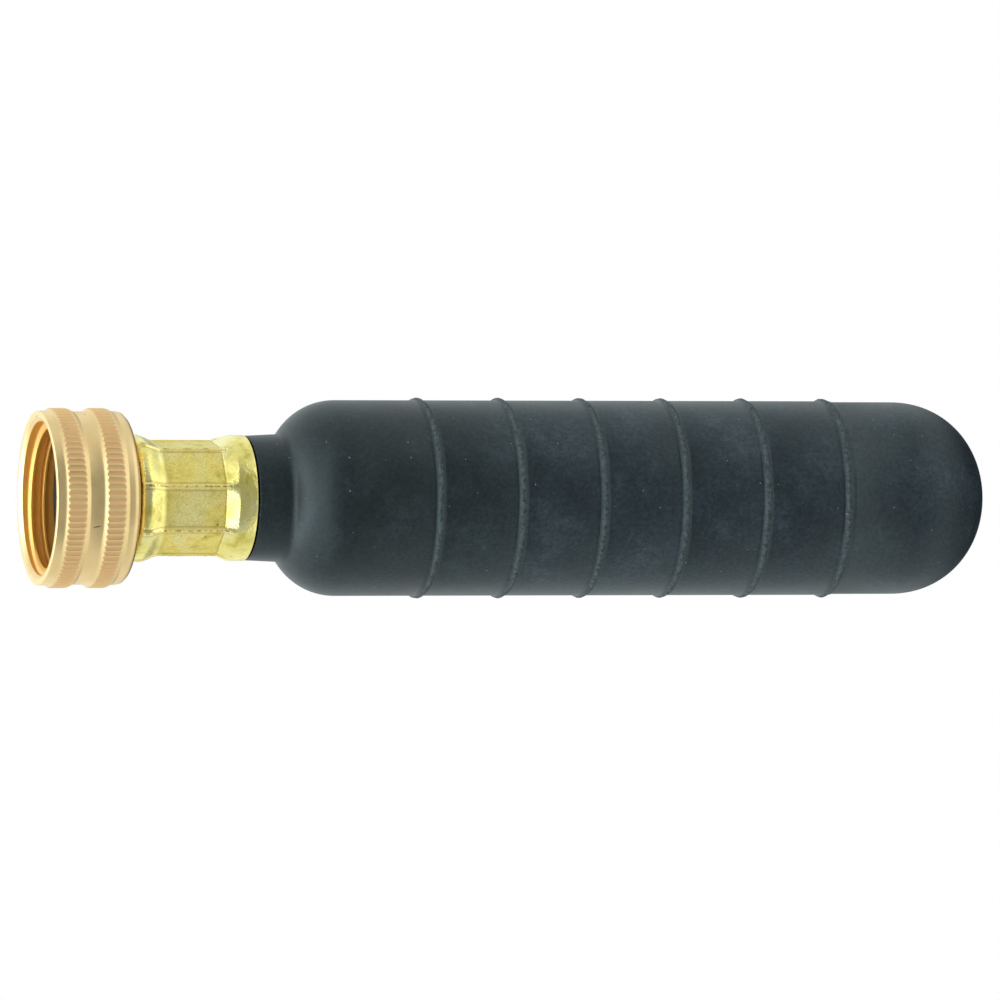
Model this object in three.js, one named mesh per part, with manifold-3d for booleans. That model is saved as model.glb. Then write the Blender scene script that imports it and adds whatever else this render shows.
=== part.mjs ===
// Drain cleaning bladder: a rubber bag with ribs, crimped onto the barbed stem of a hose swivel nut.
// Millimetres. The axis is +Z, from the mouth of the nut at z = 0 up to the nose of the bladder.
// Angles round the axis are counted from -Y towards +X.

import * as THREE from 'three';
import Module from 'manifold-3d';
import { mergeVertices } from 'three/addons/utils/BufferGeometryUtils.js';

const wasm = await Module();
wasm.setup();

// Clearances
const seatGap = 0.3; // between a piece and the one that it rests on
const swivelGap = 0.3; // between the nut's web and the stem's hub

// Swivel nut: the bore is the root of the hose thread
const threadRootRadius = 13.6;
const nutWall = 2.275; // from the thread's root to the crests of the knurl
const mouthFlare = 0.75;
const mouthFlareDepth = 0.85;
const webThickness = 3;
const lipStep = 0.475; // how far the front lip lies below the knurl
const grooveStep = 0.6;
const rearStep = 0.55;
const knurlDepth = 0.2;
const knurlTeeth = 88;
const knurlTurn = THREE.MathUtils.degToRad(-0.95); // where one crest of the knurl stands
const lipWidth = 1.2;
const knurlChamfer = 1;
const knurlWidth = 2.4;
const knurlFade = 1.5;
const grooveWidth = 2.1;
const rearBandWidth = 0.8;
const rearCornerRadius = 1.4;

// Hose washer
const washerSlack = 0.7; // round the washer, to the thread's root
const washerHoleRadius = 8;
const washerThickness = 3;

// Tail stem
const flangeSlack = 1.2; // round the flange, to the thread's root
const flangeThickness = 2.7;
const hubRadius = 8.9;
const hubProud = 0.7; // how far the hub stands out behind the nut
const shankRadius = 6.3;
const barbHeight = 0.6;
const barbCount = 4;
const barbStart = 4; // from the hub's end to the first barb
const rimGrooveLength = 2; // behind the hub, round it the ferrule's rim turns in
const stemWall = 1.3;
const inletFlare = 1.5;
const stemTipSetback = 1.4; // how far the stem ends short of the ferrule's rear edge
const stemTipChamfer = 0.5;

// Ferrule: a sleeve with a turned-in front, an eight-sided crimp and a round rear flare
const ferruleWall = 0.6;
const crimpSides = 8;
const crimpTurn = THREE.MathUtils.degToRad(-11.3); // where the first ridge of the crimp stands
const crimpRubber = 1.65; // rubber left under the flats of the crimp
const bulgeHeight = 1.1; // above the ridges of the crimp
const bulgeCornerRadius = 1.1;
const bulgeCrestLength = 0.5;
const bulgeSlopeLength = 3.8;
const bulgeFlatness = 0.55; // 0 is round, 1 has flats that meet in sharp ridges
const crimpLength = 9.8;
const flareHeight = 0.57; // above the ridges of the crimp
const flareRiseLength = 3.3; // over which the flats of the crimp run out
const flareLength = 2.6;

// Bladder, outside
const neckStep = 0.1; // how far the neck lies below the flare's rear edge
const neckFlare = 0.58; // how much the neck widens to the shoulder
const neckLength = 6.5; // from the ferrule's rear edge to the shoulder
const shoulderRadius = 11.5;
const barrelRadius = 17.35;
const ribCount = 6;
const ribPitch = 15.07;
const firstRib = 15.2; // from the shoulder's end to the first rib
const lastRibToNose = 12.95;
const ribWidth = 1.5;
const ribHeight = 0.5;
const noseStep = 0.15; // how far the nose lies below the barrel
const noseLength = 16.5;
const noseFullness = 2.1; // 2 is an ellipse, more is fuller

// Bladder, inside
const bladderWall = 3;
const noseThickness = 5;
const jetRadius = 1.5;

// Steps of the round forms
const nutBoreSteps = 48;
const roundSteps = 32;
const stemSteps = 24;
const cornerSteps = 2;
const curveSteps = 3;
const shoulderSteps = 5;
const noseSteps = 6;

// Radii that follow from the fits
const nutRadius = threadRootRadius + nutWall;
const barbRadius = shankRadius + barbHeight;
const neckBoreRadius = barbRadius + seatGap;
const crimpHalfSide = Math.PI / crimpSides;
const crimpFlat = neckBoreRadius + crimpRubber + seatGap + ferruleWall;
const crimpRadius = crimpFlat / Math.cos(crimpHalfSide);
const bulgeRadius = crimpRadius + bulgeHeight;
const flareRadius = crimpRadius + flareHeight;
const neckStartRadius = flareRadius - neckStep;
const neckEndRadius = neckStartRadius + neckFlare;
const noseRadius = barrelRadius - noseStep;

// Places along the axis
const firstKnurl = lipWidth;
const knurlBandLength = knurlChamfer + knurlWidth + knurlFade;
const secondKnurl = firstKnurl + knurlBandLength + grooveWidth;
const rearBand = secondKnurl + knurlBandLength;
const nutRear = rearBand + rearBandWidth + rearCornerRadius;
const webFront = nutRear - webThickness;
const flangeRear = webFront - seatGap;
const flangeFront = flangeRear - flangeThickness;
const washerRear = flangeFront - seatGap;
const hubEnd = nutRear + hubProud;
const ferruleFront = hubEnd + seatGap;
const bulgeStart = ferruleFront + bulgeCornerRadius;
const bulgeEnd = bulgeStart + bulgeCrestLength;
const crimpStart = bulgeEnd + bulgeSlopeLength;
const crimpEnd = crimpStart + crimpLength;
const flareFull = crimpEnd + flareRiseLength;
const ferruleRear = flareFull + flareLength;
const stemEnd = ferruleRear - stemTipSetback;
const shoulderTurn = Math.acos(1 - (barrelRadius - neckEndRadius) / shoulderRadius);
const shoulderStart = ferruleRear + neckLength;
const shoulderEnd = shoulderStart + shoulderRadius * Math.sin(shoulderTurn);
const lastRib = shoulderEnd + firstRib + (ribCount - 1) * ribPitch;
const noseStart = lastRib + lastRibToNose;

const point = (radius, height) => new THREE.Vector2(radius, height);

// A profile of (radius, height) points turned about the Z axis
function revolve(profile, steps, startAngle = 0) {
  const geometry = new THREE.LatheGeometry(profile, steps, startAngle);
  geometry.rotateX(Math.PI / 2);
  return geometry;
}

// The same with a profile that closes on itself
function revolveRing(profile, steps, startAngle = 0) {
  return revolve([...profile, profile[0]], steps, startAngle);
}

// Moves each vertex in or out to radiusAt(radius, angle, height)
function reshape(geometry, radiusAt) {
  const position = geometry.attributes.position;
  for (let i = 0; i < position.count; i += 1) {
    const x = position.getX(i);
    const y = position.getY(i);
    const radius = Math.hypot(x, y);
    const scale = radius > 0 ? radiusAt(radius, Math.atan2(x, -y), position.getZ(i)) / radius : 1;
    position.setXY(i, x * scale, y * scale);
  }
  return geometry;
}

function toSolid(geometry) {
  const bare = geometry.clone();
  bare.deleteAttribute('normal');
  bare.deleteAttribute('uv');
  const merged = mergeVertices(bare);
  return new wasm.Manifold(new wasm.Mesh({
    numProp: 3,
    vertProperties: merged.attributes.position.array,
    triVerts: merged.index.array,
  }));
}

function toGeometry(solid) {
  const mesh = solid.getMesh();
  const geometry = new THREE.BufferGeometry();
  geometry.setAttribute('position', new THREE.BufferAttribute(mesh.vertProperties, mesh.numProp));
  geometry.setIndex(new THREE.BufferAttribute(mesh.triVerts, 1));
  geometry.computeVertexNormals();
  return geometry;
}

// Points of a quarter of a circle about (radius, height), from one angle to another, ends included
function arc(radius, height, size, from, to, steps) {
  const points = [];
  for (let i = 0; i <= steps; i += 1) {
    const angle = from + (to - from) * (i / steps);
    points.push(point(radius + size * Math.cos(angle), height + size * Math.sin(angle)));
  }
  return points;
}

// One knurled band: a chamfer up, the full height, and a slope down to the radius behind it
function knurlBand(start, radiusBefore, radiusBehind) {
  return [
    point(radiusBefore, start),
    point(nutRadius, start + knurlChamfer),
    point(nutRadius, start + knurlChamfer + knurlWidth),
    point(radiusBehind, start + knurlBandLength),
  ];
}

// The knurl's valleys run at one radius, so they fade out where the nut is thinner than that
function cutKnurl(blank) {
  const toothAngle = 2 * Math.PI / knurlTeeth;
  const rootRadius = nutRadius - knurlDepth;
  return reshape(blank, (radius, angle) => {
    const isValley = Math.round(2 * (angle - knurlTurn) / toothAngle) % 2 !== 0;
    return isValley ? Math.min(radius, rootRadius) : radius;
  });
}

function swivelNut() {
  const lipRadius = nutRadius - lipStep;
  const grooveRadius = nutRadius - grooveStep;
  const rearRadius = nutRadius - rearStep;
  const cornerCentre = nutRear - rearCornerRadius;
  const blank = cutKnurl(revolve([
    point(0, 0),
    point(lipRadius, 0),
    ...knurlBand(firstKnurl, lipRadius, grooveRadius),
    ...knurlBand(secondKnurl, grooveRadius, rearRadius),
    ...arc(rearRadius - rearCornerRadius, cornerCentre, rearCornerRadius, 0, Math.PI / 2, cornerSteps),
    point(0, nutRear),
  ], 2 * knurlTeeth, knurlTurn));
  const overrun = webThickness;
  const flareSlope = mouthFlare / mouthFlareDepth;
  const webHoleRadius = hubRadius + swivelGap;
  const bore = revolve([
    point(0, -overrun),
    point(threadRootRadius + mouthFlare + overrun * flareSlope, -overrun),
    point(threadRootRadius, mouthFlareDepth),
    point(threadRootRadius, webFront),
    point(webHoleRadius, webFront),
    point(webHoleRadius, nutRear + overrun),
    point(0, nutRear + overrun),
  ], nutBoreSteps);
  return toGeometry(toSolid(blank).subtract(toSolid(bore)));
}

function hoseWasher() {
  const front = washerRear - washerThickness;
  const washerRadius = threadRootRadius - washerSlack;
  return revolveRing([
    point(washerHoleRadius, front),
    point(washerRadius, front),
    point(washerRadius, washerRear),
    point(washerHoleRadius, washerRear),
  ], roundSteps);
}

// Each barb has its sharp edge towards the nut and a ramp towards the free end
function barbs(start, end) {
  const pitch = (end - start) / barbCount;
  const points = [];
  for (let i = 0; i < barbCount; i += 1) {
    points.push(point(shankRadius, start + i * pitch));
    points.push(point(barbRadius, start + i * pitch));
  }
  points.push(point(shankRadius, end));
  return points;
}

function tailStem() {
  const flangeRadius = threadRootRadius - flangeSlack;
  const stemBoreRadius = shankRadius - stemWall;
  return revolveRing([
    point(stemBoreRadius + inletFlare, flangeFront),
    point(flangeRadius, flangeFront),
    point(flangeRadius, flangeRear),
    point(hubRadius, flangeRear),
    point(hubRadius, hubEnd),
    point(barbRadius, hubEnd),
    point(barbRadius, hubEnd + rimGrooveLength),
    point(shankRadius, hubEnd + rimGrooveLength),
    ...barbs(hubEnd + barbStart, stemEnd - stemTipChamfer),
    point(shankRadius - stemTipChamfer, stemEnd),
    point(stemBoreRadius, stemEnd),
    point(stemBoreRadius, flangeFront + inletFlare),
  ], stemSteps);
}

// How far the flare has risen at a height, from 0 at the crimp's end to 1
function flareAt(height) {
  const along = THREE.MathUtils.clamp((height - crimpEnd) / flareRiseLength, 0, 1);
  return Math.sin(along * Math.PI / 2);
}

// How eight-sided the sleeve is at a height
function flatnessAt(height) {
  const along = THREE.MathUtils.clamp((height - bulgeEnd) / bulgeSlopeLength, 0, 1);
  return THREE.MathUtils.lerp(bulgeFlatness, 1, along) * (1 - flareAt(height));
}

// Presses the flats of the crimp into a round shape, with its ridges left at full radius
function crimp(geometry) {
  return reshape(geometry, (radius, angle, height) => {
    const fromRidge = THREE.MathUtils.euclideanModulo(angle - crimpTurn, 2 * crimpHalfSide);
    const flat = radius * Math.cos(crimpHalfSide) / Math.cos(fromRidge - crimpHalfSide);
    return THREE.MathUtils.lerp(radius, flat, flatnessAt(height));
  });
}

// The sleeve's outside from the front corner to the rear edge, moved inwards by inset
function sleeveOutline(inset) {
  const shrink = inset / Math.cos(crimpHalfSide);
  const cornerSize = bulgeCornerRadius - inset;
  const cornerRadius = bulgeRadius - shrink - cornerSize;
  const points = arc(cornerRadius, bulgeStart, cornerSize, -Math.PI / 2, 0, cornerSteps);
  for (let i = 0; i <= curveSteps; i += 1) {
    const along = i / curveSteps;
    const drop = THREE.MathUtils.smoothstep(along, 0, 1) * (bulgeRadius - crimpRadius);
    points.push(point(bulgeRadius - shrink - drop, bulgeEnd + along * bulgeSlopeLength));
  }
  for (let i = 0; i <= curveSteps; i += 1) {
    const height = crimpEnd + flareRiseLength * (i / curveSteps);
    const rise = flareAt(height) * (flareRadius - crimpRadius);
    points.push(point(crimpRadius + rise - shrink, height));
  }
  points.push(point(flareRadius - shrink, ferruleRear));
  return points;
}

function ferrule() {
  const holeRadius = barbRadius + seatGap;
  return crimp(revolveRing([
    point(holeRadius, ferruleFront),
    ...sleeveOutline(0),
    ...sleeveOutline(ferruleWall).reverse(),
    point(holeRadius, ferruleFront + ferruleWall),
  ], roundSteps, crimpTurn));
}

function rib(middle) {
  return [
    point(barrelRadius, middle - ribWidth / 2),
    point(barrelRadius + ribHeight, middle),
    point(barrelRadius, middle + ribWidth / 2),
  ];
}

// The nose from its widest ring towards the tip, with the tip cut off at the jet's radius
function nose(radius, length, start) {
  const power = 2 / noseFullness;
  const lastAngle = Math.acos((jetRadius / radius) ** (1 / power));
  const points = [];
  for (let i = 0; i <= noseSteps; i += 1) {
    const angle = lastAngle * (i / noseSteps);
    points.push(point(radius * Math.cos(angle) ** power, start + length * Math.sin(angle) ** power));
  }
  return points;
}

function bladder() {
  const neckOutline = sleeveOutline(ferruleWall + seatGap);
  const neckEdge = ferruleRear + seatGap;
  const squeezed = neckOutline[neckOutline.length - 1].x;
  const shoulderCentre = barrelRadius - shoulderRadius;
  const innerShoulder = shoulderRadius - bladderWall;
  const innerTurn = Math.acos((neckBoreRadius - shoulderCentre) / innerShoulder);
  const ribs = [];
  for (let i = 0; i < ribCount; i += 1) ribs.push(...rib(shoulderEnd + firstRib + i * ribPitch));
  return crimp(revolveRing([
    point(neckBoreRadius, neckOutline[0].y),
    ...neckOutline,
    point(squeezed, neckEdge),
    point(neckStartRadius, neckEdge),
    ...arc(shoulderCentre, shoulderEnd, shoulderRadius, -shoulderTurn, 0, shoulderSteps),
    ...ribs,
    point(noseRadius, lastRib + ribWidth),
    ...nose(noseRadius, noseLength, noseStart),
    ...nose(noseRadius - bladderWall, noseLength - noseThickness, noseStart).reverse(),
    ...arc(shoulderCentre, shoulderEnd, innerShoulder, 0, -innerTurn, shoulderSteps),
  ], roundSteps, crimpTurn));
}

// Adds one named piece with its own material
function addPiece(parent, name, geometry, color, roughness, metalness) {
  const material = new THREE.MeshStandardMaterial({ color, roughness, metalness });
  const mesh = new THREE.Mesh(geometry, material);
  mesh.name = name;
  parent.add(mesh);
}

const group = new THREE.Group();
group.name = 'drain_cleaning_bladder';
addPiece(group, 'swivel_nut', swivelNut(), 0xcda777, 0.42, 1);
addPiece(group, 'hose_washer', hoseWasher(), 0x1c1e20, 0.8, 0);
addPiece(group, 'tail_stem', tailStem(), 0xc9a65c, 0.35, 1);
addPiece(group, 'ferrule', ferrule(), 0xcbbf68, 0.3, 1);
addPiece(group, 'bladder', bladder(), 0x2b3237, 0.6, 0);

export default group;
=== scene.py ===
"""A drain cleaning bladder: a ribbed rubber bag, crimped onto the brass swivel nut of a garden hose."""

import math

import bmesh
import bpy
from mathutils import Matrix, Vector, noise


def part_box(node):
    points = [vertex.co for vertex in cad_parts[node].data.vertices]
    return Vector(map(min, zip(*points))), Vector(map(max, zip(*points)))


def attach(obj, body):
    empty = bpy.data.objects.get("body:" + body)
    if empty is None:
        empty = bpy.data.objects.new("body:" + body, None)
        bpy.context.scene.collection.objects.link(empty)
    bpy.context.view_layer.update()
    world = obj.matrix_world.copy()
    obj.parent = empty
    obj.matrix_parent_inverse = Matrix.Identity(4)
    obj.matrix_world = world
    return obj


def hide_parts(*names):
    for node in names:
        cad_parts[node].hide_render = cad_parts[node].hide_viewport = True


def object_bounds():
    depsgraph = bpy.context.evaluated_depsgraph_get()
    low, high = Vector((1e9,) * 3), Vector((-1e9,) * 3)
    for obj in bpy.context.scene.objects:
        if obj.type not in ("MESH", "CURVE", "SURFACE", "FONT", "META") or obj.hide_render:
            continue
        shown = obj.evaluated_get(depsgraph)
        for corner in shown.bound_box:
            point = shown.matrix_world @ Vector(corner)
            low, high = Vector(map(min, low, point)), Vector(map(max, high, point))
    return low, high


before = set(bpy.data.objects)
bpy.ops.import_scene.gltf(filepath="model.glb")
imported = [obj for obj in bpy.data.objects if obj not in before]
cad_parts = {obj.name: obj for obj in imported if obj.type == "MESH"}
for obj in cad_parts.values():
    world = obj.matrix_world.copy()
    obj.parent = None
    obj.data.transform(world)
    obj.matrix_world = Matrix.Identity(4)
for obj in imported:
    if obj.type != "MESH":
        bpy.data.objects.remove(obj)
cad_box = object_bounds()

# The swivel nut
# It is turned from brass bar and screws onto the hose. Two bands of straight knurling give the
# fingers a grip, and a right-hand hose thread runs inside. It is matt and pinkish, barely polished.

mm = 0.001
nut_low, nut_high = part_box("swivel_nut")
nut_radius = nut_high.x
nut_rear = nut_high.z
lip_radius = nut_radius - 0.475 * mm
groove_radius = nut_radius - 0.6 * mm
rear_radius = nut_radius - 0.55 * mm
lip_width = 1.2 * mm
knurl_chamfer = 1.0 * mm
knurl_width = 2.4 * mm
knurl_fade = 1.5 * mm
groove_width = 2.1 * mm
first_knurl = lip_width + knurl_chamfer
second_knurl = first_knurl + knurl_width + knurl_fade + groove_width + knurl_chamfer
rear_corner = 1.4 * mm
knurl_teeth = 88
knurl_depth = 0.2 * mm
knurl_phase = math.radians(-0.95)
steps_per_tooth = 8
thread_root = nut_radius - 2.275 * mm
mouth_flare = 0.75 * mm
mouth_flare_depth = 0.65 * mm
web_front = nut_rear - 3.0 * mm
web_hole = 9.2 * mm


def turned(outline, steps):
    """A bmesh of a closed outline of (radius, height, corner rounding) turned about the Z axis."""
    blank = bmesh.new()
    corners = [blank.verts.new((radius, 0, height)) for radius, height, _ in outline]
    for corner, following in zip(corners, corners[1:] + corners[:1]):
        blank.edges.new((corner, following))
    for size in sorted({rounding for _, _, rounding in outline if rounding}):
        picked = [corner for corner, point in zip(corners, outline) if point[2] == size]
        bmesh.ops.bevel(blank, geom=picked, offset=size, segments=3, profile=0.5, material=-1,
                        affect="VERTICES")
    bmesh.ops.spin(blank, geom=blank.verts[:] + blank.edges[:], cent=(0, 0, 0), axis=(0, 0, 1),
                   angle=math.tau, steps=steps, use_merge=True)
    bmesh.ops.remove_doubles(blank, verts=blank.verts, dist=0.0002 * mm)
    bmesh.ops.recalc_face_normals(blank, faces=blank.faces)
    return blank


def finished(name, shape, sharp_from=35):
    """The object of a finished bmesh, smooth but for edges sharper than that many degrees."""
    mesh = bpy.data.meshes.new(name)
    shape.to_mesh(mesh)
    shape.free()
    mesh.shade_smooth()
    mesh.set_sharp_from_angle(angle=math.radians(sharp_from))
    piece = bpy.data.objects.new(name, mesh)
    bpy.context.scene.collection.objects.link(piece)
    return piece


def around(point):
    """Radius and angle of a point, counted from -Y, the side in the photograph, towards +X."""
    return math.hypot(point.x, point.y), math.atan2(point.x, -point.y)


def set_radius(vertex, radius):
    """Moves a vertex straight out from the axis, or in."""
    scale = radius / math.hypot(vertex.co.x, vertex.co.y)
    vertex.co.x *= scale
    vertex.co.y *= scale


def knurl_outline(start, radius_before, radius_behind):
    """One knurled band: a hollow run-up, a flat, a round run-out and a bevel behind it."""
    side = []
    for share in (0, 0.3, 0.5, 0.65, 0.78, 0.9, 1):
        rise = (nut_radius - radius_before) * share ** 2
        side.append((radius_before + rise, start - knurl_chamfer * (1 - share), 0))
    flat_end = start + knurl_width
    for share in (0.25, 0.5, 0.75):
        side.append((nut_radius, start + share * knurl_width, 0))
    for share in (0, 0.35, 0.6, 0.8, 1):
        side.append((nut_radius - 0.25 * mm * share ** 2, flat_end + 0.55 * share * knurl_fade, 0))
    side.append((radius_behind + 0.03 * mm, flat_end + 0.9 * knurl_fade, 0.12 * mm))
    side.append((radius_behind, flat_end + knurl_fade, 0))
    return side


nut = turned(
    [
        (thread_root + mouth_flare, 0, 0.1 * mm),
        (lip_radius, 0, 0.18 * mm),
        *knurl_outline(first_knurl, lip_radius, groove_radius),
        *knurl_outline(second_knurl, groove_radius, rear_radius),
        (rear_radius, nut_rear, rear_corner),
        (web_hole, nut_rear, 0.25 * mm),
        (web_hole, web_front, 0.1 * mm),
        (thread_root, web_front, 0.3 * mm),
        (thread_root, mouth_flare_depth, 0.1 * mm),
    ],
    knurl_teeth * steps_per_tooth,
)
knurl_root = nut_radius - knurl_depth
valley = nut.verts.layers.float.new("valley")
for vertex in nut.verts:
    radius, angle = around(vertex.co)
    if radius > knurl_root:
        tooth = ((angle - knurl_phase) / math.tau * knurl_teeth) % 1
        from_crest = 2 * min(tooth, 1 - tooth)
        vertex[valley] = (radius - knurl_root) / knurl_depth * from_crest
        set_radius(vertex, knurl_root + (radius - knurl_root) * (1 - from_crest) ** 2)

thread_pitch = 2.209 * mm
thread_crest = 12.4 * mm
thread_half_base = 0.58 * mm
thread_half_crest = 0.22 * mm
thread_start = -0.11 * mm
thread_turns = 2.35
thread_steps = 120
thread_sunk = thread_root + 0.2 * mm
ridge = bmesh.new()
section = [ridge.verts.new((0, radius, height + thread_start)) for radius, height in (
    (thread_sunk, -thread_half_base),
    (thread_crest + 0.12 * mm, -thread_half_crest - 0.07 * mm),
    (thread_crest, -thread_half_crest + 0.05 * mm),
    (thread_crest, thread_half_crest - 0.05 * mm),
    (thread_crest + 0.12 * mm, thread_half_crest + 0.07 * mm),
    (thread_sunk, thread_half_base),
)]
first_face = ridge.faces.new(section)
bmesh.ops.spin(
    ridge, geom=[first_face], cent=(0, 0, 0), axis=(0, 0, 1), angle=math.tau * thread_turns,
    steps=int(thread_turns * thread_steps), dvec=(0, 0, thread_pitch / thread_steps),
)
bmesh.ops.recalc_face_normals(ridge, faces=ridge.faces)
for vertex in ridge.verts:
    radius, _ = around(vertex.co)
    flare = thread_root + mouth_flare * (1 - vertex.co.z / mouth_flare_depth)
    vertex.co.z = max(vertex.co.z, 0.1 * mm)
    if radius < flare:
        set_radius(vertex, flare + 0.01 * mm)
thread_mesh = bpy.data.meshes.new("thread")
ridge.to_mesh(thread_mesh)
ridge.free()
nut.from_mesh(thread_mesh)
bpy.data.meshes.remove(thread_mesh)
# This marks the bore in front of the web, which gets painted shade, a painted bounce glow and a rougher
# finish.
inside = nut.verts.layers.float.new("inside")
for vertex in nut.verts:
    radius, _ = around(vertex.co)
    if radius < thread_root + 0.05 * mm and vertex.co.z < web_front:
        vertex[inside] = 1
swivel_nut = finished("turned_nut", nut)


def paint(red, green, blue):
    """A colour as it looks on screen, from 0 to 255, as the shader wants it."""
    linear = []
    for part in (red / 255, green / 255, blue / 255):
        linear.append(part / 12.92 if part <= 0.04045 else ((part + 0.055) / 1.055) ** 2.4)
    return linear + [1]


def add(tree, kind, inputs=None, **settings):
    """A node of a kind, with its settings, and its inputs set to values or joined to sockets."""
    node = tree.nodes.new(kind)
    for name, value in settings.items():
        setattr(node, name, value)
    for name, value in (inputs or {}).items():
        if isinstance(value, bpy.types.NodeSocket):
            tree.links.new(value, node.inputs[name])
        else:
            node.inputs[name].default_value = value
    return node


def fade(tree, value, colours):
    """A colour ramp on a value, from (position, colour) stops."""
    node = add(tree, "ShaderNodeValToRGB", {"Fac": value})
    stops = node.color_ramp.elements
    while len(stops) < len(colours):
        stops.new(0.5)
    for stop, (position, colour) in zip(stops, colours):
        stop.position = position
        stop.color = colour
    return node.outputs["Color"]


def effect(name, takes, gives):
    """An empty node group with named number inputs and outputs of a kind, and its two end nodes."""
    group = bpy.data.node_groups.new(name, "ShaderNodeTree")
    for label, value in takes.items():
        socket = group.interface.new_socket(label, in_out="INPUT", socket_type="NodeSocketFloat")
        socket.default_value = value
    for label, kind in gives.items():
        group.interface.new_socket(label, in_out="OUTPUT", socket_type=kind)
    return group, group.nodes.new("NodeGroupInput").outputs, group.nodes.new("NodeGroupOutput").inputs


def material(name):
    """A new material's tree and its shader."""
    new = bpy.data.materials.new(name)
    new.use_nodes = True
    return new, new.node_tree, new.node_tree.nodes["Principled BSDF"]


# Fine rings that a lathe leaves round a turned piece
lathe_rings, ring_in, ring_out = effect(
    "lathe_rings", {"Rings per metre": 6000.0}, {"Height": "NodeSocketFloat"}
)
place = add(lathe_rings, "ShaderNodeTexCoord").outputs["Object"]
along = add(lathe_rings, "ShaderNodeSeparateXYZ", {"Vector": place}).outputs["Z"]
scaled = add(lathe_rings, "ShaderNodeMath", {0: along, 1: ring_in["Rings per metre"]},
             operation="MULTIPLY")
rings = add(lathe_rings, "ShaderNodeTexNoise", {
    "W": scaled.outputs["Value"], "Detail": 3.0, "Scale": 1.0}, noise_dimensions="1D")
lathe_rings.links.new(rings.outputs["Fac"], ring_out["Height"])

# Clouds of tarnish and handling over bare brass: a slow mask, a fine mask and small dark pits
brass_clouds, cloud_in, cloud_out = effect(
    "brass_clouds",
    {"Clouds per metre": 120.0, "Grains per metre": 1500.0, "Pits per metre": 420.0},
    {"Clouds": "NodeSocketFloat", "Grain": "NodeSocketFloat", "Pits": "NodeSocketFloat"},
)
place = add(brass_clouds, "ShaderNodeTexCoord").outputs["Object"]
clouds = add(brass_clouds, "ShaderNodeTexNoise",
             {"Vector": place, "Scale": cloud_in["Clouds per metre"], "Detail": 4.0, "Roughness": 0.6})
grain = add(brass_clouds, "ShaderNodeTexNoise",
            {"Vector": place, "Scale": cloud_in["Grains per metre"], "Detail": 2.0})
cells = add(brass_clouds, "ShaderNodeTexVoronoi", {
    "Vector": place, "Scale": cloud_in["Pits per metre"]})
pit = add(brass_clouds, "ShaderNodeMapRange", {
    "Value": cells.outputs["Distance"], "From Min": 0.05, "From Max": 0.13,
    "To Min": 1.0, "To Max": 0.0})
rare = add(brass_clouds, "ShaderNodeSeparateColor", {"Color": cells.outputs["Color"]})
kept = add(brass_clouds, "ShaderNodeMath", {0: rare.outputs["Red"], 1: 0.86}, operation="GREATER_THAN")
pits = add(brass_clouds, "ShaderNodeMath", {0: pit.outputs["Result"], 1: kept.outputs["Value"]},
           operation="MULTIPLY")
brass_clouds.links.new(clouds.outputs["Fac"], cloud_out["Clouds"])
brass_clouds.links.new(grain.outputs["Fac"], cloud_out["Grain"])
brass_clouds.links.new(pits.outputs["Value"], cloud_out["Pits"])

nut_brass, tree, shader = material("nut_brass")
tarnish = add(tree, "ShaderNodeGroup", {}, node_tree=brass_clouds)
rings = add(tree, "ShaderNodeGroup", {}, node_tree=lathe_rings)
plain = fade(tree, tarnish.outputs["Clouds"], [
    (0.3, paint(234, 202, 140)), (0.5, paint(246, 213, 156)), (0.72, paint(240, 203, 144))])
# The knurl's valleys take a pinker, darker brass paint: a pinker tone with painted shade between the
# teeth.
in_valley = add(tree, "ShaderNodeAttribute", attribute_name="valley")
knurled = add(tree, "ShaderNodeMix", {
    "Factor": in_valley.outputs["Fac"], "A": plain, "B": paint(236, 188, 136)}, data_type="RGBA")
# Inside the bore the brass is painted a deeper, darker orange: painted shade and the painted glow of
# light bounced between the threads. It is also made rougher there.
bore_shade_and_matt = add(tree, "ShaderNodeAttribute", attribute_name="inside")
tint = add(tree, "ShaderNodeMix", {
    "Factor": bore_shade_and_matt.outputs["Fac"], "A": knurled.outputs["Result"], "B": paint(226, 172, 86)},
    data_type="RGBA").outputs["Result"]

# A short dark scratch lies across the groove between the knurled bands
scratch_angle = math.radians(19.3)
scratch_height = 7.3 * mm
scratch_slant = math.radians(-10)
scratch_half_size = (0.14 * mm, 2 * mm, 0.95 * mm)
scratch_middle = (
    math.sin(scratch_angle) * groove_radius, -math.cos(scratch_angle) * groove_radius, scratch_height)
centred = add(tree, "ShaderNodeMapping", {
    "Vector": add(tree, "ShaderNodeTexCoord").outputs["Object"],
    "Location": scratch_middle, "Rotation": (0, scratch_slant, scratch_angle)}, vector_type="TEXTURE")
beside = add(tree, "ShaderNodeVectorMath", {
    0: centred.outputs["Vector"], 1: [1 / half for half in scratch_half_size]}, operation="MULTIPLY")
distance = add(tree, "ShaderNodeVectorMath", {0: beside.outputs["Vector"]}, operation="LENGTH")
scratch = add(tree, "ShaderNodeMapRange", {
    "Value": distance.outputs["Value"], "From Min": 0.5, "From Max": 1.0,
    "To Min": 0.85, "To Max": 0.0})
marks = add(tree, "ShaderNodeMath", {0: scratch.outputs["Result"], 1: tarnish.outputs["Pits"]},
            operation="MAXIMUM")
marked = add(tree, "ShaderNodeMix", {
    "Factor": marks.outputs["Value"], "A": tint, "B": paint(96, 80, 52)}, data_type="RGBA")
tree.links.new(marked.outputs["Result"], shader.inputs["Base Color"])
shader.inputs["Metallic"].default_value = 1.0
matt = add(tree, "ShaderNodeMapRange", {
    "Value": tarnish.outputs["Clouds"], "From Min": 0.3, "From Max": 0.7,
    "To Min": 0.33, "To Max": 0.42})
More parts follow.
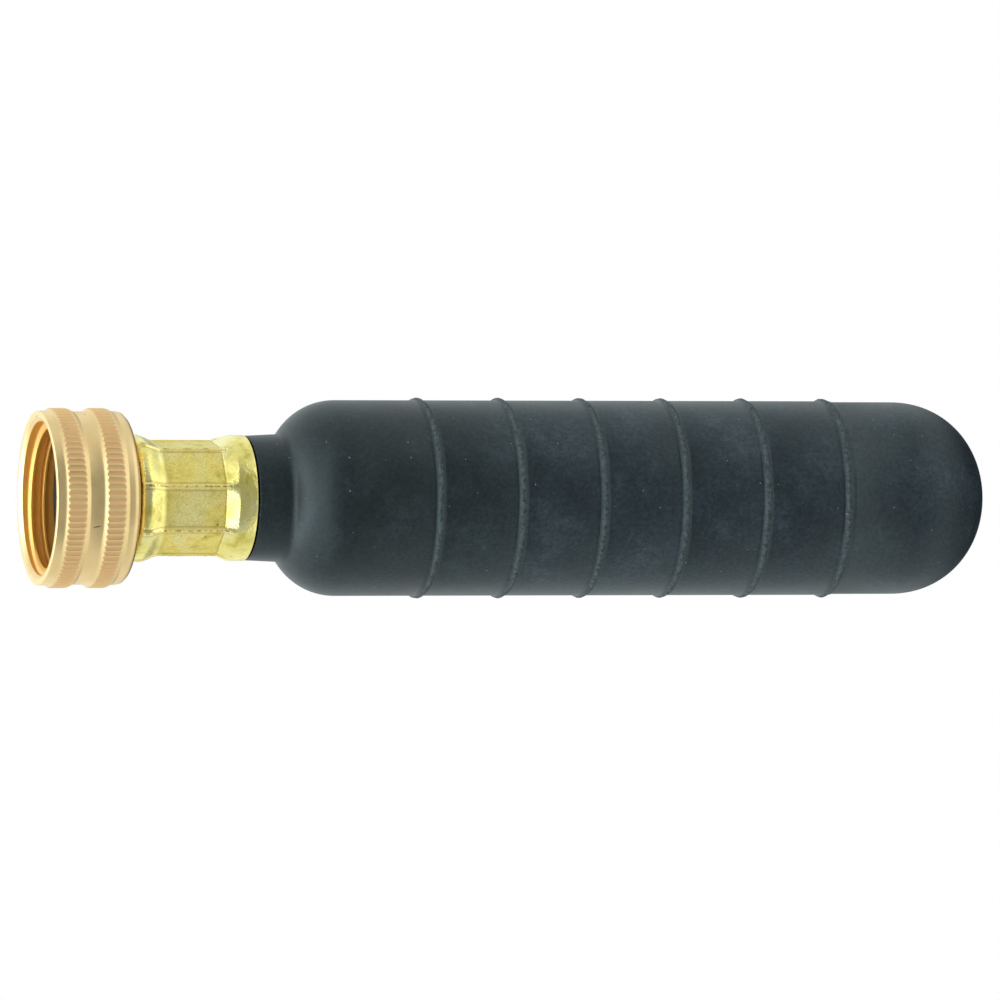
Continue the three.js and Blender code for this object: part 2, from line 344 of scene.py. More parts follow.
dull = add(tree, "ShaderNodeMath", {
    0: in_valley.outputs["Fac"], 1: 0.35, 2: matt.outputs["Result"]}, operation="MULTIPLY_ADD")
duller = add(tree, "ShaderNodeMath", {
    0: bore_shade_and_matt.outputs["Fac"], 1: 0.14, 2: dull.outputs["Value"]}, operation="MULTIPLY_ADD")
tree.links.new(duller.outputs["Value"], shader.inputs["Roughness"])
turning = add(tree, "ShaderNodeBump", {
    "Height": rings.outputs["Height"], "Strength": 0.25, "Distance": 0.03 * mm})
grained = add(tree, "ShaderNodeBump", {
    "Height": tarnish.outputs["Grain"], "Strength": 0.25, "Distance": 0.03 * mm,
    "Normal": turning.outputs["Normal"]})
tree.links.new(grained.outputs["Normal"], shader.inputs["Normal"])

swivel_nut.data.materials.append(nut_brass)
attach(swivel_nut, "nut")
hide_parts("swivel_nut")

# The hose washer
# A flat black rubber ring at the bottom of the nut. The hose's end is screwed down onto it.

washer_low, washer_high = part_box("hose_washer")
washer_hole = 8.0 * mm
washer_edge = 0.35 * mm
hose_washer = finished("rubber_washer", turned(
    [
        (washer_hole, washer_low.z, washer_edge),
        (washer_high.x, washer_low.z, washer_edge),
        (washer_high.x, washer_high.z, washer_edge),
        (washer_hole, washer_high.z, washer_edge),
    ],
    96,
))

# Pale dust and lint that clings to rubber: sparse specks, in a few sizes
rubber_dust, dust_in, dust_out = effect(
    "rubber_dust", {"Specks per metre": 700.0, "Share": 0.1}, {"Specks": "NodeSocketFloat"}
)
place = add(rubber_dust, "ShaderNodeTexCoord").outputs["Object"]
cells = add(rubber_dust, "ShaderNodeTexVoronoi", {
    "Vector": place, "Scale": dust_in["Specks per metre"]})
chance = add(rubber_dust, "ShaderNodeSeparateColor", {"Color": cells.outputs["Color"]})
kept = add(rubber_dust, "ShaderNodeMath", {0: chance.outputs["Red"], 1: dust_in["Share"]},
           operation="LESS_THAN")
size = add(rubber_dust, "ShaderNodeMath", {0: chance.outputs["Green"], 1: 0.1}, operation="MULTIPLY")
near = add(rubber_dust, "ShaderNodeMath", {0: size.outputs["Value"], 1: cells.outputs["Distance"]},
           operation="GREATER_THAN")
specks = add(rubber_dust, "ShaderNodeMath", {0: kept.outputs["Value"], 1: near.outputs["Value"]},
             operation="MULTIPLY")
rubber_dust.links.new(specks.outputs["Value"], dust_out["Specks"])

washer_rubber, tree, shader = material("washer_rubber")
dust = add(tree, "ShaderNodeGroup", {"Share": 0.05}, node_tree=rubber_dust)
dusty = add(tree, "ShaderNodeMix", {
    "Factor": dust.outputs["Specks"], "A": paint(30, 31, 33), "B": paint(120, 122, 122)},
    data_type="RGBA")
tree.links.new(dusty.outputs["Result"], shader.inputs["Base Color"])
pores = add(tree, "ShaderNodeTexNoise", {
    "Vector": add(tree, "ShaderNodeTexCoord").outputs["Object"], "Scale": 2400.0, "Detail": 3.0})
rough = add(tree, "ShaderNodeMapRange", {"Value": pores.outputs["Fac"], "To Min": 0.55, "To Max": 0.85})
tree.links.new(rough.outputs["Result"], shader.inputs["Roughness"])
pored = add(tree, "ShaderNodeBump", {
    "Height": pores.outputs["Fac"], "Strength": 0.3, "Distance": 0.04 * mm})
tree.links.new(pored.outputs["Normal"], shader.inputs["Normal"])

hose_washer.data.materials.append(washer_rubber)
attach(hose_washer, "nut")
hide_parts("hose_washer")

# The tail stem
# A turned brass insert. Its flange is held behind the washer by the nut's web, its hub lets the nut
# spin, and its barbed shank is pushed into the rubber neck. Water runs through its bore.

stem_low, stem_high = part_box("tail_stem")
flange_rear = web_front - 0.3 * mm
hub_radius = 8.9 * mm
hub_end = nut_rear + 0.7 * mm
shank_radius = 6.3 * mm
barb_radius = shank_radius + 0.6 * mm
barb_start = hub_end + 4.0 * mm
barb_end = stem_high.z - 0.5 * mm
barb_count = 4
rim_groove_end = hub_end + 2.0 * mm
stem_bore = 5.0 * mm
inlet_flare = 1.5 * mm
barbs = []
for number in range(barb_count):
    edge = barb_start + number * (barb_end - barb_start) / barb_count
    barbs += [(shank_radius, edge, 0), (barb_radius, edge, 0.08 * mm)]
tail_stem = finished("barbed_stem", turned(
    [
        (stem_bore + inlet_flare, stem_low.z, 0.2 * mm),
        (stem_high.x, stem_low.z, 0.25 * mm),
        (stem_high.x, flange_rear, 0.25 * mm),
        (hub_radius, flange_rear, 0.2 * mm),
        (hub_radius, hub_end, 0.3 * mm),
        (barb_radius, hub_end, 0.1 * mm),
        (barb_radius, rim_groove_end, 0),
        (shank_radius, rim_groove_end, 0),
        *barbs,
        (shank_radius, barb_end, 0.05 * mm),
        (shank_radius - 0.5 * mm, stem_high.z, 0.1 * mm),
        (stem_bore, stem_high.z, 0.1 * mm),
        (stem_bore, stem_low.z + inlet_flare, 0.2 * mm),
    ],
    96,
))

stem_brass, tree, shader = material("stem_brass")
tarnish = add(tree, "ShaderNodeGroup", {}, node_tree=brass_clouds)
rings = add(tree, "ShaderNodeGroup", {"Rings per metre": 4500.0}, node_tree=lathe_rings)
tint = fade(tree, tarnish.outputs["Clouds"], [
    (0.35, paint(196, 164, 92)), (0.65, paint(214, 184, 110))])
tree.links.new(tint, shader.inputs["Base Color"])
shader.inputs["Metallic"].default_value = 1.0
satin = add(tree, "ShaderNodeMapRange", {
    "Value": tarnish.outputs["Grain"], "To Min": 0.24, "To Max": 0.4})
tree.links.new(satin.outputs["Result"], shader.inputs["Roughness"])
turning = add(tree, "ShaderNodeBump", {
    "Height": rings.outputs["Height"], "Strength": 0.4, "Distance": 0.04 * mm})
tree.links.new(turning.outputs["Normal"], shader.inputs["Normal"])

tail_stem.data.materials.append(stem_brass)
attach(tail_stem, "bag")
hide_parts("tail_stem")

# The ferrule
# A drawn sleeve of yellow brass. Its front is turned in behind the stem's hub, and an eight-jawed
# press has squeezed its middle onto the rubber. The jaws left flats, double-edged seams between them
# and a bite mark where they ended, and the rear stays round and flared.

ferrule_low, ferrule_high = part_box("ferrule")
ferrule_front = ferrule_low.z
ferrule_rear = ferrule_high.z
ferrule_wall = 0.6 * mm
ferrule_hole = barb_radius + 0.3 * mm
press_jaws = 8
jaw_angle = math.tau / press_jaws
first_ridge = math.radians(-11.3)
crimp_flat = 9.6 * mm
crimp_radius = crimp_flat / math.cos(jaw_angle / 2)
bulge_radius = crimp_radius + 0.98 * mm
bulge_corner = 1.1 * mm
bulge_crest_end = ferrule_front + bulge_corner + 0.5 * mm
bulge_slope = 3.4 * mm
bulge_flatness = 0.34
crimp_start = bulge_crest_end + bulge_slope
crimp_end = crimp_start + 10.6 * mm
flare_radius = crimp_radius + 0.73 * mm
flare_rise = 3.0 * mm
flats_run_out = 0.75 * flare_rise
ridge_height = 0.16 * mm
ridge_half_width = 0.52 * mm
ridge_dip = 0.5
ridge_dip_width = 0.28
ridge_fullness = 1.5
gutter_inset = 0.8
gutter_depth = 0.1 * mm
steps_per_jaw = 28
crowding = 0.7
wavers_per_metre = 2400
bite_depth = 0.1 * mm
bite_width = 0.22 * mm


def flare_at(height):
    """How far the flare has risen at a height, from 0 at the crimp's end to 1."""
    return math.sin(math.pi / 2 * min(1, max(0, (height - crimp_end) / flare_rise)))


def flatness_at(height):
    """How eight-sided the sleeve is at a height: 0 is round, 1 has flats."""
    along = min(1, max(0, (height - bulge_crest_end) / bulge_slope))
    past_crimp = min(1, max(0, (height - crimp_end) / flats_run_out))
    return (bulge_flatness + (1 - bulge_flatness) * along) * (1 - past_crimp ** 1.2)


def sleeve(inset, steps):
    """The sleeve's side from its front corner to its rear edge, moved inwards, as (radius, height)."""
    shrink = inset / math.cos(jaw_angle / 2)
    corner = bulge_corner - inset
    side = []
    for step in range(steps + 1):
        turn = math.pi / 2 * step / steps
        side.append((bulge_radius - shrink - corner * (1 - math.sin(turn)),
                     ferrule_front + bulge_corner - corner * math.cos(turn)))
    for step in range(steps + 1):
        share = step / steps
        drop = share * share * (3 - 2 * share) * (bulge_radius - crimp_radius)
        side.append((bulge_radius - shrink - drop, bulge_crest_end + share * bulge_slope))
    before_bite = crimp_end - bite_width
    past_bite = crimp_end + bite_width
    rise_left = flare_rise - bite_width
    heights = [crimp_start + step / steps * (before_bite - crimp_start) for step in range(1, steps)]
    heights += [crimp_end + step / steps * bite_width for step in range(-steps, steps)]
    heights += [past_bite + step / steps * rise_left for step in range(steps + 1)]
    for height in heights:
        side.append((crimp_radius + flare_at(height) * (flare_radius - crimp_radius) - shrink, height))
    return side


outer_steps = 12
inner_steps = 4
sleeve_shape = turned(
    [
        (ferrule_hole, ferrule_front, 0),
        *[(radius, height, 0) for radius, height in sleeve(0, outer_steps)],
        (flare_radius, ferrule_rear, 0.22 * mm),
        (flare_radius - ferrule_wall, ferrule_rear, 0.15 * mm),
        *[(radius, height, 0) for radius, height in reversed(sleeve(ferrule_wall, inner_steps))],
        (ferrule_hole, ferrule_front + ferrule_wall, 0),
    ],
    press_jaws * steps_per_jaw,
)
ridged = sleeve_shape.verts.layers.float.new("ridge")
dipped = sleeve_shape.verts.layers.float.new("ridge_middle")
grooved = sleeve_shape.verts.layers.float.new("gutter")
for vertex in sleeve_shape.verts:
    radius, angle = around(vertex.co)
    share = ((angle - first_ridge) / jaw_angle) % 1
    crowded = share - crowding * math.sin(math.tau * share) / math.tau
    vertex.co = Matrix.Rotation((crowded - share) * jaw_angle, 3, "Z") @ vertex.co
    height = vertex.co.z
    flatness = flatness_at(height)
    flat = radius * math.cos(jaw_angle / 2) / math.cos((crowded - 0.5) * jaw_angle)
    pressed = radius + (flat - radius) * flatness
    off_ridge = radius * jaw_angle * min(crowded, 1 - crowded) / ridge_half_width
    if radius > crimp_radius - 0.3 * mm and height > ferrule_front:
        waver = 0.75 + 0.5 * noise.noise(vertex.co * wavers_per_metre)
        bead = min(1, ridge_fullness * math.cos(math.pi / 2 * min(1, off_ridge)) ** 2)
        dip = math.exp(-(off_ridge / ridge_dip_width) ** 2)
        gutter = math.sin(math.pi * min(1, max(0, off_ridge - gutter_inset))) ** 2
        settled = min(1, (height - ferrule_front) / bulge_corner)
        settled *= min(1, 1.6 * (1 - flare_at(height)))
        raised = ridge_height * (bead - ridge_dip * dip) - gutter_depth * gutter
        pressed += raised * waver * settled
        on_flat = min(1, max(0, off_ridge - 1))
        bite = max(0, 1 - abs(height - crimp_end) / bite_width) * on_flat
        step_shade_line = max(0, 1 - abs(height - crimp_start) / bite_width) * on_flat
        pressed -= bite_depth * bite
        # The ridge layer carries the seams' painted highlight.
        vertex[ridged] = bead * settled
        # The ridge_middle layer marks each seam's middle dip, where painted shade goes.
        vertex[dipped] = dip * settled
        # The gutter layer carries painted shade in the gutters and the bite, and a painted shade line
        # where the flats begin.
        vertex[grooved] = max(gutter * settled, bite, 0.4 * step_shade_line)
    set_radius(vertex, pressed)
ferrule = finished("crimped_ferrule", sleeve_shape, sharp_from=50)

ferrule_brass, tree, shader = material("ferrule_brass")
tarnish = add(tree, "ShaderNodeGroup", {"Clouds per metre": 330.0, "Grains per metre": 1500.0},
              node_tree=brass_clouds)
tint = fade(tree, tarnish.outputs["Clouds"], [
    (0.32, paint(214, 196, 96)), (0.44, paint(244, 226, 132)), (0.56, paint(254, 236, 146)),
    (0.68, paint(250, 216, 110))])
patches = add(tree, "ShaderNodeTexNoise", {
    "Vector": add(tree, "ShaderNodeTexCoord").outputs["Object"], "Scale": 130.0, "Detail": 2.0})
greyed = add(tree, "ShaderNodeMapRange", {
    "Value": patches.outputs["Fac"], "From Min": 0.48, "From Max": 0.6, "To Max": 0.55})
tint = add(tree, "ShaderNodeMix", {
    "Factor": greyed.outputs["Result"], "A": tint, "B": paint(250, 242, 190)},
    data_type="RGBA").outputs["Result"]
height = add(tree, "ShaderNodeSeparateXYZ", {
    "Vector": add(tree, "ShaderNodeTexCoord").outputs["Object"]}).outputs["Z"]
past_front = add(tree, "ShaderNodeMapRange", {
    "Value": height, "From Min": crimp_start - 0.8 * mm, "From Max": crimp_start + 0.3 * mm})
before_end = add(tree, "ShaderNodeMapRange", {
    "Value": height, "From Min": crimp_end + 0.2 * mm, "From Max": crimp_end - 0.1 * mm})
frosted = add(tree, "ShaderNodeMath", {
    0: past_front.outputs["Result"], 1: before_end.outputs["Result"]}, operation="MULTIPLY")
sand = add(tree, "ShaderNodeTexNoise", {
    "Vector": add(tree, "ShaderNodeTexCoord").outputs["Object"], "Scale": 3200.0, "Detail": 3.0,
    "Roughness": 0.7})
sandy = add(tree, "ShaderNodeMapRange", {
    "Value": sand.outputs["Fac"], "From Min": 0.42, "From Max": 0.64, "To Max": 0.5})
sanded = add(tree, "ShaderNodeMath", {
    0: sandy.outputs["Result"], 1: frosted.outputs["Value"]}, operation="MULTIPLY")
tint = add(tree, "ShaderNodeMix", {
    "Factor": sanded.outputs["Value"], "A": tint, "B": paint(208, 184, 92)},
    data_type="RGBA").outputs["Result"]
# The seams' raised beads are painted a paler brass: a painted highlight along each seam.
seam = add(tree, "ShaderNodeAttribute", attribute_name="ridge")
seam_highlight = add(tree, "ShaderNodeMix", {
    "Factor": seam.outputs["Fac"], "A": tint, "B": paint(252, 230, 150)}, data_type="RGBA")
# Dark spots along the middle dip of each seam: painted shade in the dip, broken up by noise.
seam_spot_noise = add(tree, "ShaderNodeTexNoise", {
    "Vector": add(tree, "ShaderNodeTexCoord").outputs["Object"], "Scale": 1300.0, "Detail": 1.0})
dip_shade_spots = add(tree, "ShaderNodeMapRange", {
    "Value": seam_spot_noise.outputs["Fac"], "From Min": 0.46, "From Max": 0.6})
seam_middle = add(tree, "ShaderNodeAttribute", attribute_name="ridge_middle")
seam_dip_shade = add(tree, "ShaderNodeMath", {
    0: dip_shade_spots.outputs["Result"], 1: seam_middle.outputs["Fac"]}, operation="MULTIPLY")
# A darker brass in the gutters beside the seams and in the bite at the flats' rear end: painted shade
# in these grooves. Where the flats begin it is a painted dark line alone, with no groove under it.
gutters = add(tree, "ShaderNodeAttribute", attribute_name="gutter")
gutter_shade = add(tree, "ShaderNodeMath", {0: gutters.outputs["Fac"], 1: 0.5}, operation="MULTIPLY")
outlined = add(tree, "ShaderNodeMix", {
    "Factor": gutter_shade.outputs["Value"], "A": seam_highlight.outputs["Result"], "B": paint(176, 142, 60)},
    data_type="RGBA")
# The painted shade in the seams' dip and the tarnish's real pits share one dark brass.
dark = add(tree, "ShaderNodeMath", {0: seam_dip_shade.outputs["Value"], 1: tarnish.outputs["Pits"]},
           operation="MAXIMUM")
freckled = add(tree, "ShaderNodeMix", {
    "Factor": dark.outputs["Value"], "A": outlined.outputs["Result"], "B": paint(158, 138, 70)},
    data_type="RGBA")
tree.links.new(freckled.outputs["Result"], shader.inputs["Base Color"])
shader.inputs["Metallic"].default_value = 1.0
gloss = add(tree, "ShaderNodeMapRange", {
    "Value": tarnish.outputs["Clouds"], "From Min": 0.35, "From Max": 0.65,
    "To Min": 0.32, "To Max": 0.2})
matt = add(tree, "ShaderNodeMix", {
    "Factor": frosted.outputs["Value"], "A": gloss.outputs["Result"], "B": 0.66})
tree.links.new(matt.outputs["Result"], shader.inputs["Roughness"])
hammered = add(tree, "ShaderNodeBump", {
    "Height": tarnish.outputs["Clouds"], "Strength": 0.5, "Distance": 0.3 * mm})
grained = add(tree, "ShaderNodeBump", {
    "Height": tarnish.outputs["Grain"], "Strength": 0.5, "Distance": 0.08 * mm,
    "Normal": hammered.outputs["Normal"]})
tree.links.new(grained.outputs["Normal"], shader.inputs["Normal"])

ferrule.data.materials.append(ferrule_brass)
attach(ferrule, "bag")
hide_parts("ferrule")

# The bladder
# One hollow moulding of black rubber. Its neck sits between stem and ferrule, six rings stand round
# the barrel to grip the pipe, and a small hole in the nose lets the water out as a jet.

bag_low, bag_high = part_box("bladder")
rib_height = 0.5 * mm
rib_width = 1.5 * mm
rib_gutter = 0.09 * mm
rib_gutter_edge = 0.85 * rib_width
rib_drift = 0.16 * mm
drifts_per_metre = 160
rib_wear = 0.12 * mm
wears_per_metre = 420
bag_steps = 200
barrel_radius = bag_high.x - rib_height
neck_edge = ferrule_rear + 0.3 * mm
neck_start = flare_radius - 0.1 * mm
neck_end = neck_start + 0.26 * mm
shoulder_radius = 11.5 * mm
shoulder_start = ferrule_rear + 6.5 * mm
shoulder_turn = math.acos(1 - (barrel_radius - neck_end) / shoulder_radius)
shoulder_end = shoulder_start + shoulder_radius * math.sin(shoulder_turn)
rib_count = 6
rib_pitch = 15.07 * mm
first_rib = shoulder_end + 15.02 * mm
ribs = [first_rib + number * rib_pitch for number in range(rib_count)]
nose_radius = barrel_radius - 0.15 * mm
nose_start = ribs[-1] + 12.95 * mm
nose_length = 16.5 * mm
nose_fullness = 2.1
nose_thickness = 5.0 * mm
jet_radius = 1.5 * mm
bag_wall = 3.0 * mm
neck_fillet = 0.9 * mm
neck_bore = barb_radius + 0.3 * mm


def arc_side(start, end, centre_radius, centre_height, size, steps):
    """Points on a circle's arc from one angle to another, as outline points with no rounding."""
    side = []
    for step in range(steps + 1):
        turn = start + (end - start) * step / steps
        side.append((centre_radius + size * math.cos(turn), centre_height + size * math.sin(turn), 0))
    return side


def rib_side(middle):
    """A moulded ring: a round crest between two shallow gutters."""
    side = [(barrel_radius, middle - rib_gutter_edge, 0)]
    for step in range(-7, 8):
        share = step / 6
        rise = (0.5 + 0.5 * math.cos(math.pi * min(1, abs(share)))) ** 0.8
        foot = rib_gutter if abs(step) == 7 else 0
        side.append((barrel_radius + rib_height * rise - foot, middle + share * rib_width / 2, 0))
    side.append((barrel_radius, middle + rib_gutter_edge, 0))
    return side


def nose_side(radius, length, steps):
    """The nose from its widest ring to the jet, fuller than half an ellipse."""
    power = 2 / nose_fullness
    last = math.acos((jet_radius / radius) ** (1 / power))
    side = []
    for step in range(steps + 1):
        turn = last * step / steps
        height = nose_start + length * math.sin(turn) ** power
        side.append((radius * math.cos(turn) ** power, height, 0))
    return side


shoulder_centre = barrel_radius - shoulder_radius
inner_shoulder = shoulder_radius - bag_wall
inner_turn = math.acos((neck_bore - shoulder_centre) / inner_shoulder)
neck_inside = sleeve(ferrule_wall + 0.3 * mm, inner_steps)
squeezed = neck_inside[-1][0]
fillet_turn = shoulder_turn - neck_fillet / shoulder_radius
fillet_ends = [
    Vector((neck_end, shoulder_start - neck_fillet)), Vector((neck_end, shoulder_start)),
    Vector((shoulder_centre + shoulder_radius * math.cos(fillet_turn),
            shoulder_end - shoulder_radius * math.sin(fillet_turn)))]
fillet = []
for share in (0, 0.2, 0.4, 0.6, 0.8):
    before = fillet_ends[0].lerp(fillet_ends[1], share)
    fillet.append((*before.lerp(fillet_ends[1].lerp(fillet_ends[2], share), share), 0))
bag_outline = [
    (neck_bore, neck_inside[0][1], 0),
    *[(radius, height, 0) for radius, height in neck_inside],
    (squeezed, neck_edge, 0),
    (neck_start, neck_edge, 0.25 * mm),
    *fillet,
    *arc_side(-fillet_turn, 0, shoulder_centre, shoulder_end, shoulder_radius, 24),
]
for middle in ribs:
    bag_outline += rib_side(middle)
bag_outline += [
    (nose_radius, ribs[-1] + rib_width, 0),
    *nose_side(nose_radius, nose_length, 36),
    *reversed(nose_side(nose_radius - bag_wall, nose_length - nose_thickness, 12)),
    *arc_side(0, -inner_turn, shoulder_centre, shoulder_end, inner_shoulder, 10),
]
bag = turned(bag_outline, bag_steps)
for vertex in bag.verts:
    radius, angle = around(vertex.co)
    if radius > barrel_radius + 0.02 * mm:
        drift = noise.noise(
            Vector((vertex.co.x, vertex.co.y, 3 * vertex.co.z)) * drifts_per_metre)
        rise = (radius - barrel_radius) / rib_height
        vertex.co.z += rib_drift * drift * rise
        wear = rib_wear * rise * abs(noise.noise(vertex.co * wears_per_metre))
        set_radius(vertex, radius - wear)
        radius, angle = around(vertex.co)
    share = ((angle - first_ridge) / jaw_angle) % 1
    flat = radius * math.cos(jaw_angle / 2) / math.cos((share - 0.5) * jaw_angle)
    set_radius(vertex, radius + (flat - radius) * flatness_at(vertex.co.z))
bladder = finished("rubber_bladder", bag, sharp_from=50)

bloom_start = 60 * mm
bloom_full = 95 * mm
scuff_start = 158 * mm
scuff_full = 168 * mm
bladder_rubber, tree, shader = material("bladder_rubber")
place = add(tree, "ShaderNodeTexCoord").outputs["Object"]
lint = add(tree, "ShaderNodeGroup", {"Share": 0.4}, node_tree=rubber_dust)
powder = add(tree, "ShaderNodeGroup", {"Specks per metre": 1900.0, "Share": 0.3},
             node_tree=rubber_dust)
bloom = add(tree, "ShaderNodeTexNoise", {
    "Vector": place, "Scale": 110.0, "Detail": 7.0, "Roughness": 0.68})
skin = add(tree, "ShaderNodeTexNoise", {
    "Vector": place, "Scale": 1500.0, "Detail": 4.0, "Roughness": 0.65})
fresh = fade(tree, bloom.outputs["Fac"], [
    (0.34, paint(17, 22, 25)), (0.52, paint(23, 29, 32)), (0.68, paint(34, 42, 46))])
bloomed = fade(tree, bloom.outputs["Fac"], [
    (0.34, paint(26, 33, 40)), (0.52, paint(34, 43, 50)), (0.68, paint(50, 60, 67))])
apart = add(tree, "ShaderNodeSeparateXYZ", {"Vector": place})
out_of_neck = add(tree, "ShaderNodeMapRange", {
    "Value": apart.outputs["Z"], "From Min": bloom_start, "From Max": bloom_full},
    interpolation_type="SMOOTHSTEP")
tone = add(tree, "ShaderNodeMix", {
    "Factor": out_of_neck.outputs["Result"], "A": fresh, "B": bloomed},
    data_type="RGBA").outputs["Result"]
mottle = fade(tree, skin.outputs["Fac"], [(0.38, (0.62, 0.62, 0.62, 1)), (0.62, (1.3, 1.3, 1.3, 1))])
tone = add(tree, "ShaderNodeMix", {"Factor": 1.0, "A": tone, "B": mottle}, data_type="RGBA",
           blend_type="MULTIPLY").outputs["Result"]
flat_place = add(tree, "ShaderNodeCombineXYZ", {"X": apart.outputs["X"], "Y": apart.outputs["Y"]})
reach = add(tree, "ShaderNodeVectorMath", {0: flat_place.outputs["Vector"]}, operation="LENGTH")
rib_tone = fade(tree, skin.outputs["Fac"], [(0.36, paint(34, 40, 40)), (0.6, paint(74, 82, 84))])
on_rib = add(tree, "ShaderNodeMapRange", {
    "Value": reach.outputs["Value"], "From Min": barrel_radius + 0.1 * mm,
    "From Max": barrel_radius + 0.35 * mm})
ribbed = add(tree, "ShaderNodeMix", {
    "Factor": on_rib.outputs["Result"], "A": tone, "B": rib_tone}, data_type="RGBA")
powdered = add(tree, "ShaderNodeMix", {
    "Factor": powder.outputs["Specks"], "A": ribbed.outputs["Result"], "B": paint(76, 84, 86)},
    data_type="RGBA")
dusty = add(tree, "ShaderNodeMix", {
    "Factor": lint.outputs["Specks"], "A": powdered.outputs["Result"], "B": paint(112, 120, 122)},
    data_type="RGBA")
tree.links.new(dusty.outputs["Result"], shader.inputs["Base Color"])
sheen = add(tree, "ShaderNodeMapRange", {
    "Value": bloom.outputs["Fac"], "From Min": 0.3, "From Max": 0.7, "To Min": 0.36, "To Max": 0.46})
worn = add(tree, "ShaderNodeMix", {
    "Factor": on_rib.outputs["Result"], "A": sheen.outputs["Result"], "B": 0.7})
tree.links.new(worn.outputs["Result"], shader.inputs["Roughness"])
shader.inputs["Specular Tint"].default_value = (0.85, 0.97, 1, 1)
scuffed_nose = add(tree, "ShaderNodeMapRange", {
    "Value": apart.outputs["Z"], "From Min": scuff_start, "From Max": scuff_full,
    "To Min": 0.5, "To Max": 0.16}, interpolation_type="SMOOTHSTEP")
tree.links.new(scuffed_nose.outputs["Result"], shader.inputs["Specular IOR Level"])
skinned = add(tree, "ShaderNodeBump", {
    "Height": skin.outputs["Fac"], "Strength": 0.4, "Distance": 0.06 * mm})
waved = add(tree, "ShaderNodeBump", {
    "Height": bloom.outputs["Fac"], "Strength": 0.15, "Distance": 0.5 * mm,
    "Normal": skinned.outputs["Normal"]})
tree.links.new(waved.outputs["Normal"], shader.inputs["Normal"])

bladder.data.materials.append(bladder_rubber)
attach(bladder, "bag")
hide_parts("bladder")

# The studio
# A pale floor under the standing part, two lamps towards the mouth and a white surround with soft
# patches. The photograph looks at the mouth from below the floor, so the floor shows only from above
# and stops no light.

floor_shape = bmesh.new()
bmesh.ops.create_grid(floor_shape, x_segments=1, y_segments=1, size=4)
floor = finished("floor", floor_shape)
floor_paint, tree, shader = material("floor_paint")
shader.inputs["Base Color"].default_value = paint(240, 240, 240)
shader.inputs["Roughness"].default_value = 0.9
seen_from_below = add(tree, "ShaderNodeNewGeometry").outputs["Backfacing"]
two_sided = add(tree, "ShaderNodeMixShader", {"Fac": seen_from_below})
tree.links.new(shader.outputs["BSDF"], two_sided.inputs[1])
tree.links.new(add(tree, "ShaderNodeBsdfTransparent").outputs["BSDF"], two_sided.inputs[2])
tree.links.new(two_sided.outputs["Shader"], tree.nodes["Material Output"].inputs["Surface"])
floor.data.materials.append(floor_paint)
floor.visible_diffuse = False
floor.visible_glossy = False
floor.visible_transmission = False
floor.visible_shadow = False


def aimed(position, target, up):
    """The placement of a lamp or camera at a point, looking at another, with a direction up."""
    ahead = (Vector(target) - Vector(position)).normalized()
    right = ahead.cross(Vector(up)).normalized()
    above = right.cross(ahead)
    turn = Matrix((right, above, -ahead)).transposed().to_4x4()
    return Matrix.Translation(position) @ turn


part_middle = (0, 0, cad_box[1][2] / 2)


def softbox(name, position, width, height, watts):
    """A soft rectangular lamp aimed at the middle of the part."""
    lamp = bpy.data.lights.new(name, "AREA")
    lamp.shape = "RECTANGLE"
    lamp.size = width
    lamp.size_y = height
    lamp.energy = watts
    lamp.color = (0.8, 0.92, 1)
    box = bpy.data.objects.new(name, lamp)
    bpy.context.scene.collection.objects.link(box)
    box.matrix_world = aimed(position, part_middle, (-1, 0, 0) if position[0] == 0 else (0, 0, 1))


softbox("mouth_softbox", (0.02, 0.05, -0.47), 0.46, 0.46, 2.6)
softbox("front_strip", (0, -0.36, -0.31), 0.04, 1.8, 1.2)

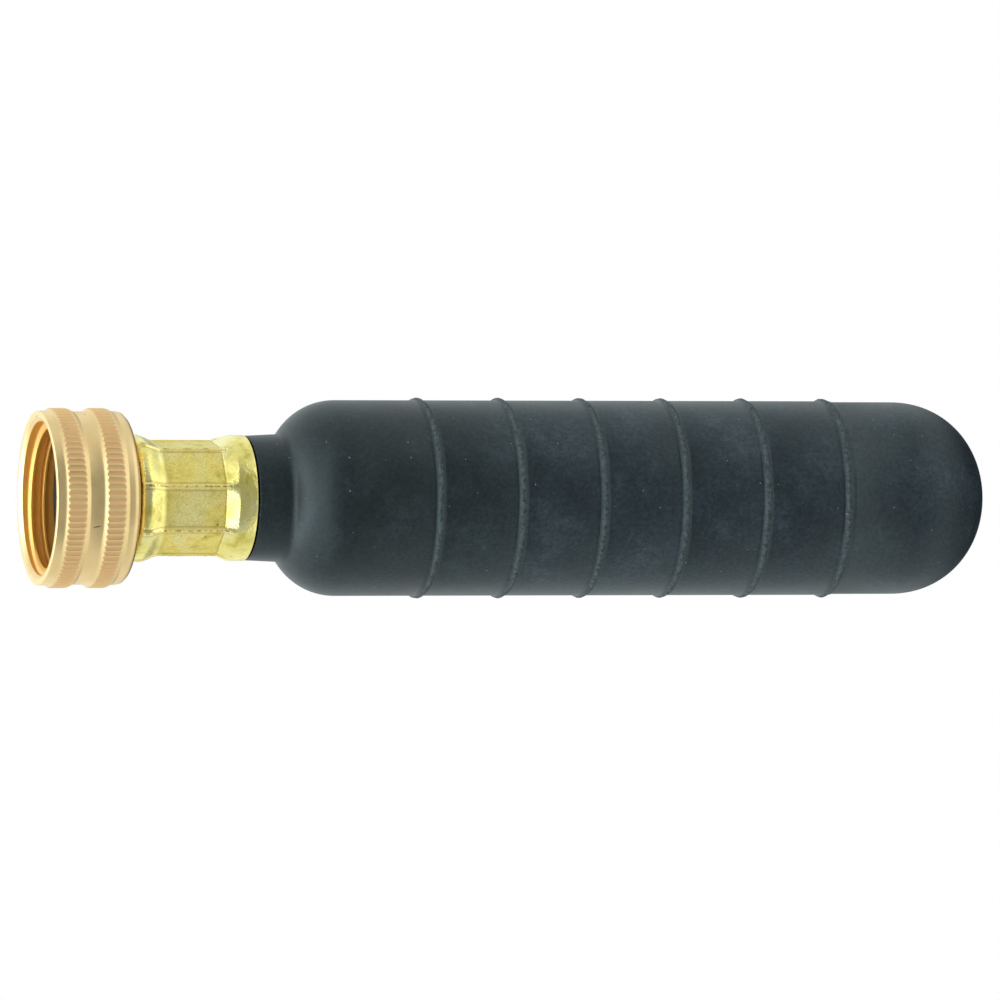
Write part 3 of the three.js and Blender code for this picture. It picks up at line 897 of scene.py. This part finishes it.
surround = bpy.data.worlds.new("surround")
bpy.context.scene.world = surround
surround.use_nodes = True
tree = surround.node_tree
direction = add(tree, "ShaderNodeTexCoord").outputs["Generated"]


def patch(before, centre, inner, outer, level):
    """The surround with a soft round patch of another level, between two angles from a direction."""
    axis = add(tree, "ShaderNodeVectorMath", {0: direction, 1: Vector(centre).normalized()},
               operation="DOT_PRODUCT")
    mask = add(tree, "ShaderNodeMapRange", {
        "Value": axis.outputs["Value"], "From Min": math.cos(math.radians(outer)),
        "From Max": math.cos(math.radians(inner))}, interpolation_type="SMOOTHSTEP")
    mixed = add(tree, "ShaderNodeMix", {"Factor": mask.outputs["Result"], "A": before, "B": level})
    return mixed.outputs["Result"]


room = 0.85
for centre, inner, outer, level in (
    ((0, 1, 0.2), 20, 75, 1.1),
    ((0, -1, 0.2), 40, 88, 0.36),
    ((-0.7, -0.4, 0.85), 5, 32, 1.4),
    ((0.7, -0.4, 0.85), 5, 32, 1.2),
    ((0, -0.5, 0.866), 4, 27, 1.5),
    ((0, 0.64, 0.77), 15, 45, 0.04),
    ((0.02, 0, -1), 25, 60, 1.6),
):
    room = patch(room, centre, inner, outer, level)
cool = add(tree, "ShaderNodeVectorMath", {0: room, 1: (0.92, 1, 1)}, operation="MULTIPLY")
light_path = add(tree, "ShaderNodeLightPath")
shown = add(tree, "ShaderNodeMix", {
    "Factor": light_path.outputs["Is Camera Ray"], "A": cool.outputs["Vector"], "B": (1, 1, 1, 1)},
    data_type="RGBA")
background = tree.nodes["Background"]
tree.links.new(shown.outputs["Result"], background.inputs["Color"])

# The camera stands 2 m in front, well towards the mouth, and is turned so that the part lies level
focal_length = 420.9
camera_data = bpy.data.cameras.new("camera")
camera_data.lens = focal_length
camera_data.sensor_width = 36
camera_data.clip_end = 20
camera = bpy.data.objects.new("camera", camera_data)
bpy.context.scene.collection.objects.link(camera)
axis_above_middle = 0.35 * mm
camera.matrix_world = aimed(
    (axis_above_middle, -2.0, -0.48473), (axis_above_middle, 0, 0.08464), (-1, 0, 0))
bpy.context.scene.camera = camera
bpy.context.scene.view_settings.view_transform = "Standard"
